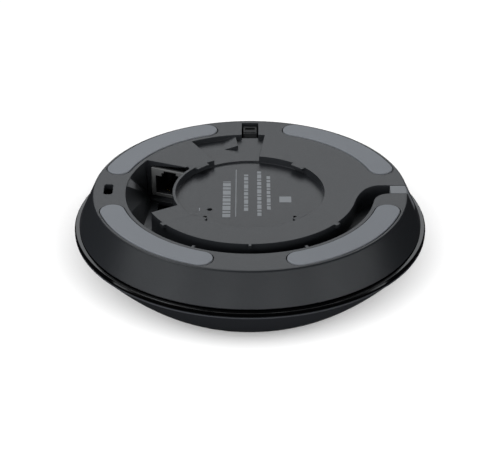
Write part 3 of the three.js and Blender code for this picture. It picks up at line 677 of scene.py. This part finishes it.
def shell_body():
    """The back shell: the hollow cone with its bosses, then every recess cut into it."""
    inside = turned([(0, PLATE_Z), (skirt_radius(PLATE_Z) - WALL, PLATE_Z),
                     (skirt_radius(FLANGE_Z) - WALL, FLANGE_Z), (FLANGE_INNER, FLANGE_Z),
                     (FLANGE_INNER, SKIRT_Z - 1), (0, SKIRT_Z - 1)])
    block = PLATE_Z + 0.5
    bosses = [
        rod((0, 0), RECESS_RADIUS + RIB, RECESS_Z - RIB, block, 96),
        prism(sector(RECESS_RADIUS - SECTOR_LAP, SECTOR_OUTER + RIB, SECTOR_START - 2, SECTOR_END + 2),
              SECTOR_Z - RIB, block),
        box(-WELL_HALF - RIB, WELL_HALF + RIB, LATCH_NEAR - 3, WELL_FAR + RIB, WELL_FLOOR - RIB, block),
        combined(channel_hollow(RIB), ("INTERSECT", [shell_outside()])),
        *[rod(place, BOSS_RADIUS, SKIRT_Z + 0.15, block) for place in screw_places()],
        combined(pocket_hollow(RIB), ("INTERSECT", [box(-FAR, 0, -FAR, FAR, 0, block)])),
    ]
    high = CUT_TOP
    pads = [prism(pad_outline(PAD_INNER - PAD_GROOVE, PAD_OUTER + PAD_GROOVE, start - 0.4, end + 0.4),
                  BACK_Z - PAD_SINK, high) for start, end in PAD_SPANS.values()]
    recess = prism(arc(RECESS_RADIUS, 0, 360)[:-1], RECESS_Z, high)
    hollows = [
        recess,
        prism(sector(RECESS_RADIUS - SECTOR_LAP, SECTOR_OUTER, SECTOR_START, SECTOR_END), SECTOR_Z, high),
        box(-WELL_HALF, WELL_HALF, LATCH_NEAR - 0.35, WELL_FAR, WELL_FLOOR, high),
        box(-WELL_HALF, WELL_HALF, SECTOR_OUTER - 2, LATCH_NEAR, SECTOR_Z, high),
        channel_hollow(0),
        pocket_hollow(0),
        jack_box(-JACK_HALF - GAP, JACK_HALF + GAP, *JACK_MOUTH, LEDGE_Z, JACK_Z + JACK_HEIGHT + GAP),
        *pads,
        *[rod(place, SCREW_HEAD, SCREW_SEAT, high) for place in screw_places()],
        *[rod(place, SCREW_HOLE, SKIRT_Z - 1, high) for place in screw_places()],
        prism(rounded_rectangle(SLOT_CENTRE, SLOT_HALF, SLOT_CORNER), PLATE_Z - 1, high),
        rod(RESET, RESET_RADIUS, RECESS_Z - RIB - 1, high),
        rod(STUD_HOLE, STUD_RADIUS, BACK_Z - STUD_DEPTH, high, 24),
        *[rod(place, PEG_RADIUS, RECESS_Z - RIB - 1, high, 24) for place in PEG_HOLES],
    ]
    teeth = [prism(sector(LIP_INNER, RECESS_RADIUS + TAB_ROOT, angle, angle + LIP_SWEEP),
                   BACK_Z - LIP_THICK, BACK_Z) for angle in LIP_ANGLES]
    return combined(shell_outside(), ("DIFFERENCE", [inside]), ("UNION", bosses), ("DIFFERENCE", hollows),
                    ("UNION", [bracket_wedge(), *teeth, *channel_tabs()]))


# ---- front ----
def dome_profile(edge, base, last, steps):
    points = []
    for i in range(steps + 1):
        radius = FRONT_FLAT + (last - FRONT_FLAT) * i / steps
        height = COVER_TOP * ((radius - FRONT_FLAT) / (edge - FRONT_FLAT)) ** DOME_POWER
        points.append((radius, base + height))
    return points


def cover_body():
    """The domed front, open in the middle for its cap."""
    hole = CAP_RADIUS + GAP
    edge = COVER_RADIUS - 3.3
    outside = dome_profile(COVER_RADIUS, 0, COVER_RADIUS - 0.35, 40)
    inside = dome_profile(edge, WALL, edge, 24)
    lip = [(COVER_RADIUS, COVER_TOP - 0.35), (COVER_RADIUS - 0.15, COVER_TOP), (edge, COVER_TOP)]
    return turned([(hole, 0.2), (hole + 0.2, 0), *outside, *lip, *reversed(inside[:-1]), (hole, WALL)])


def cap_body():
    """The round cap, with a ring groove and a hole for the light guide."""
    outer = CAP_RADIUS + CAP_LIP
    top = WALL + CAP_LIP
    return turned([(CAP_HOLE, 0.5), (CAP_HOLE + 0.2, 0.3), (CAP_RADIUS - 0.7, 0.3), (CAP_RADIUS - 0.15, 0.5),
                   (CAP_RADIUS, 1.0), (CAP_RADIUS, WALL), (outer, WALL + GAP), (outer, top), (CAP_HOLE, top)])


def trim_body():
    """The gloss ring between cone and dome: an upright band with a finely rounded upper edge."""
    low = COVER_TOP + GAP
    high = SKIRT_Z - GAP
    corner = arc(0.35, 0, 90, (RIM_RADIUS - 0.6, high - 0.35), 15)
    return turned([(RING_INNER, low), (RIM_RADIUS - 0.3, low), (RIM_RADIUS, low + 0.25),
                   (RIM_RADIUS, high - 0.75), *corner, (RING_INNER, high)])


def ring_body(inner, outer, low, high):
    round_end = (high - low) / 2
    return turned([(inner, low), (outer - round_end, low),
                   *arc(round_end, -80, 80, (outer - round_end, low + round_end), 16),
                   (outer - round_end, high), (inner, high)])


# ---- operators ----
class BuildFinishes(bpy.types.Operator):
    """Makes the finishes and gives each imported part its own"""
    bl_idname = "access_point.finishes"
    bl_label = "Finishes"

    slots = {"housing": "housing", "cover": "cover", "pad_rubber": "pad", "seal_rubber": "seal",
             "gloss_black": "gloss", "dark_plastic": "nylon", "plated_tin": "plated", "steel": "zinc",
             "contact_gold": "gold", "board_green": "mask", "cast_plate": "rolled",
             "thermal_gum": "putty", "light_guide": "acrylic"}

    def execute(self, context):
        FINISH.update(finishes())
        for row in frame["record"]["subparts"]:
            mesh = NODES[row["node"]].data
            mesh.materials.clear()
            mesh.materials.append(FINISH[self.slots[row["material_slot"]]])
        return {"FINISHED"}


class BuildBackShell(bpy.types.Operator):
    """Makes the moulded back shell with its recesses, channel and jack pocket"""
    bl_idname = "access_point.back_shell"
    bl_label = "Back shell"

    def execute(self, context):
        piece("back_housing", shell_body(), "housing", FINISH["housing"], ("back_shell",),
              settings("shape").housing_edge)
        return {"FINISHED"}


class BuildFront(bpy.types.Operator):
    """Makes the domed front cover and its centre cap"""
    bl_idname = "access_point.front"
    bl_label = "Front cover"

    def execute(self, context):
        piece("front_dome", cover_body(), "housing", FINISH["cover"], ("front_cover",))
        piece("front_cap", cap_body(), "housing", FINISH["cover"], ("centre_cap",))
        return {"FINISHED"}


class BuildRim(bpy.types.Operator):
    """Makes the gloss ring round the widest point and the seal behind it"""
    bl_idname = "access_point.rim"
    bl_label = "Rim"

    def execute(self, context):
        piece("rim_band", trim_body(), "housing", FINISH["gloss"], ("trim_ring",),
              crease=20)
        low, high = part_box("seal_ring")
        cord = ring_body(SEAL_INNER, high.x / MM, low.z / MM, high.z / MM)
        piece("seal_cord", cord, "housing", FINISH["seal"], ("seal_ring",))
        return {"FINISHED"}


class BuildGripPads(bpy.types.Operator):
    """Makes the four rubber grip pads with softly rounded edges"""
    bl_idname = "access_point.grip_pads"
    bl_label = "Grip pads"

    def execute(self, context):
        for place, (start, end) in PAD_SPANS.items():
            outline = pad_outline(PAD_INNER, PAD_OUTER, start, end)
            bm = prism(outline, BACK_Z - PAD_SINK + GAP, BACK_Z + PAD_PROUD)
            piece("pad_" + place, bm, "housing", FINISH["pad"], ("grip_pad_" + place,),
                  settings("shape").pad_edge, 3)
        return {"FINISHED"}


class BuildExitPlug(bpy.types.Operator):
    """Makes the rubber plug that closes the cable exit"""
    bl_idname = "access_point.exit_plug"
    bl_label = "Exit plug"

    def execute(self, context):
        softened("cable_exit_plug", "exit_plug", FINISH["plug"], "exit_plug_block")
        return {"FINISHED"}


class BuildLatch(bpy.types.Operator):
    """Makes the latch and winds its coil spring"""
    bl_idname = "access_point.latch"
    bl_label = "Latch and spring"

    def execute(self, context):
        softened("latch", "latch", FINISH["acetal"], "latch_slider")
        low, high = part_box("latch_spring")
        wire = SPRING_WIRE * MM
        middle = (low + high) / 2
        bm = bmesh.new()
        reach = (high.x - low.x) / 2 - wire
        foot = Matrix.Translation((middle.x + reach, middle.y, low.z + wire))
        stand = foot @ Matrix.Rotation(math.pi / 2, 4, "X")
        bmesh.ops.create_circle(bm, cap_ends=True, segments=8, radius=wire, matrix=stand)
        steps = SPRING_TURNS * TURN_STEPS
        rise = (high.z - low.z - 2 * wire) / steps
        bmesh.ops.spin(bm, geom=bm.faces[:], cent=middle, axis=(0, 0, 1), dvec=(0, 0, rise),
                       angle=2 * math.pi * SPRING_TURNS, steps=steps)
        bmesh.ops.remove_doubles(bm, verts=bm.verts, dist=FINE_WELD * MM)
        bmesh.ops.recalc_face_normals(bm, faces=bm.faces)
        coil = piece("latch_coil", bm, "housing", FINISH["zinc"], ("latch_spring",))
        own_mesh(coil)
        return {"FINISHED"}


class BuildJack(bpy.types.Operator):
    """Makes the plated jack shield, its insert and its contacts"""
    bl_idname = "access_point.jack"
    bl_label = "Network jack"

    def execute(self, context):
        softened("jack_shield", "housing", FINISH["tin"], "jack_can")
        softened("jack_insert", "housing", FINISH["nylon"], "jack_socket")
        for i in range(1, 9):
            softened(f"jack_contact_{i}", "housing", FINISH["gold"], f"jack_wire_{i}", 1)
        return {"FINISHED"}


class BuildMarks(bpy.types.Operator):
    """Prints plain rules, bars and a block on the recess floor in place of lettering"""
    bl_idname = "access_point.marks"
    bl_label = "Printed marks"

    def execute(self, context):
        low = RECESS_Z
        high = RECESS_Z + INK_THICK
        bars = []
        for x, start, end, half in BAR_COLUMNS:
            y = start
            count = 0
            while y < end:
                length = BAR_LENGTHS[count % len(BAR_LENGTHS)] * min(1.0, 0.4 + half)
                bars.append(box(x - half, x + half, y, min(y + length, end), low, high))
                y += length + BAR_GAP
                count += 1
        bars.append(box(*RULE, low, high))
        bars.append(prism(rounded_rectangle(BLOCK_CENTRE, BLOCK_HALF, BLOCK_CORNER), low, high))
        bars.append(box(RESET[0] - 4.1, RESET[0] - 3.7, RESET[1] - 1.1, RESET[1] + 1.1, low, high))
        piece("printed_marks", merged(bars), "housing", FINISH["ink"])
        return {"FINISHED"}


class BuildStage(bpy.types.Operator):
    """Sets the pale floor, the soft lights and the camera"""
    bl_idname = "access_point.stage"
    bl_label = "Stage"

    def execute(self, context):
        stage = settings("stage")
        aim = Vector((0, 0, stage.aim_height))
        camera = bpy.data.objects.new("Camera", bpy.data.cameras.new("Camera"))
        camera.data.lens = stage.lens
        back = Vector((0, -math.cos(stage.view_elevation), math.sin(stage.view_elevation)))
        camera.location = aim + back * stage.view_distance
        camera.rotation_euler = (aim - camera.location).to_track_quat("-Z", "Y").to_euler()
        context.scene.collection.objects.link(camera)
        context.scene.camera = camera

        bm = bmesh.new()
        bmesh.ops.create_grid(bm, x_segments=1, y_segments=1, size=FLOOR_SIZE,
                              matrix=Matrix.Translation((0, 0, CAD_LOW.z)))
        mesh = bpy.data.meshes.new("floor")
        bm.to_mesh(mesh)
        bm.free()
        # Seamless paper: near white, dull.
        mesh.materials.append(grained("Seamless paper", "#f4f4f4", 0.9, 2, 0.01, blotch=0.004))
        floor = bpy.data.objects.new("floor", mesh)
        context.scene.collection.objects.link(floor)
        floor.visible_diffuse = False
        floor.visible_glossy = False

        # The top light comes from above and to the left, so it reaches down into the jack's pocket.
        lit = [self.light("Key", stage.key_power, KEY_PLACE, KEY_SIZE, aim),
               self.light("Top", stage.top_power, TOP_PLACE, TOP_SIZE, aim)]
        for side in range(-2, 3):
            place = (*polar(FRONT_REACH, 270 + FRONT_STEP * side), FRONT_HEIGHT - FRONT_DROP * abs(side))
            lit.append(self.light(f"Front_{side + 3}", stage.front_power, place, FRONT_SIZE, aim))
        paper = self.light("Paper", stage.floor_power, PAPER_PLACE, PAPER_SIZE, aim)
        only_floor = bpy.data.collections.new("Floor only")
        only_floor.objects.link(floor)
        paper.light_linking.receiver_collection = only_floor
        all_but_floor = bpy.data.collections.new("All but floor")
        all_but_floor.objects.link(floor)
        all_but_floor.collection_objects[0].light_linking.link_state = "EXCLUDE"
        for lamp in lit:
            lamp.light_linking.receiver_collection = all_but_floor
            lamp.data.color = LIGHT_TINT
        world = bpy.data.worlds.new("World")
        world.use_nodes = True
        world.node_tree.nodes["Background"].inputs["Color"].default_value = AMBIENT
        context.scene.world = world
        context.scene.view_settings.view_transform = "Standard"
        return {"FINISHED"}

    def light(self, name, power, place, size, aim):
        lamp = bpy.data.lights.new(name, "AREA")
        lamp.shape = "RECTANGLE"
        lamp.size, lamp.size_y = size
        lamp.energy = power
        holder = bpy.data.objects.new(name, lamp)
        holder.location = place
        holder.rotation_euler = (aim - holder.location).to_track_quat("-Z", "Y").to_euler()
        bpy.context.scene.collection.objects.link(holder)
        return holder


class AccessPointPanel(bpy.types.Panel):
    """Lists the pieces and their settings"""
    bl_idname = "VIEW3D_PT_access_point"
    bl_label = "Access point"
    bl_space_type = "VIEW_3D"
    bl_region_type = "UI"
    bl_category = "Access point"

    def draw(self, context):
        for operator in OPERATORS:
            self.layout.operator(operator.bl_idname)
        for group, kind in GROUPS.items():
            column = self.layout.column(heading=group.capitalize())
            for name in kind.__annotations__:
                column.prop(settings(group), name)


GROUPS = {"shape": ShapeSettings, "colours": ColourSettings, "stage": StageSettings}
OPERATORS = (BuildStage, BuildFinishes, BuildBackShell, BuildFront, BuildRim, BuildGripPads, BuildExitPlug,
             BuildLatch, BuildJack, BuildMarks)


def register():
    for kind in (*GROUPS.values(), *OPERATORS, AccessPointPanel):
        bpy.utils.register_class(kind)
    for group, kind in GROUPS.items():
        setattr(bpy.types.Scene, "access_point_" + group, bpy.props.PointerProperty(type=kind))


def unregister():
    for group in GROUPS:
        delattr(bpy.types.Scene, "access_point_" + group)
    for kind in (AccessPointPanel, *OPERATORS, *GROUPS.values()):
        bpy.utils.unregister_class(kind)


def main():
    register()
    for operator in OPERATORS:
        group, name = operator.bl_idname.split(".")
        getattr(getattr(bpy.ops, group), name)()


if __name__ == "__main__":
    main()
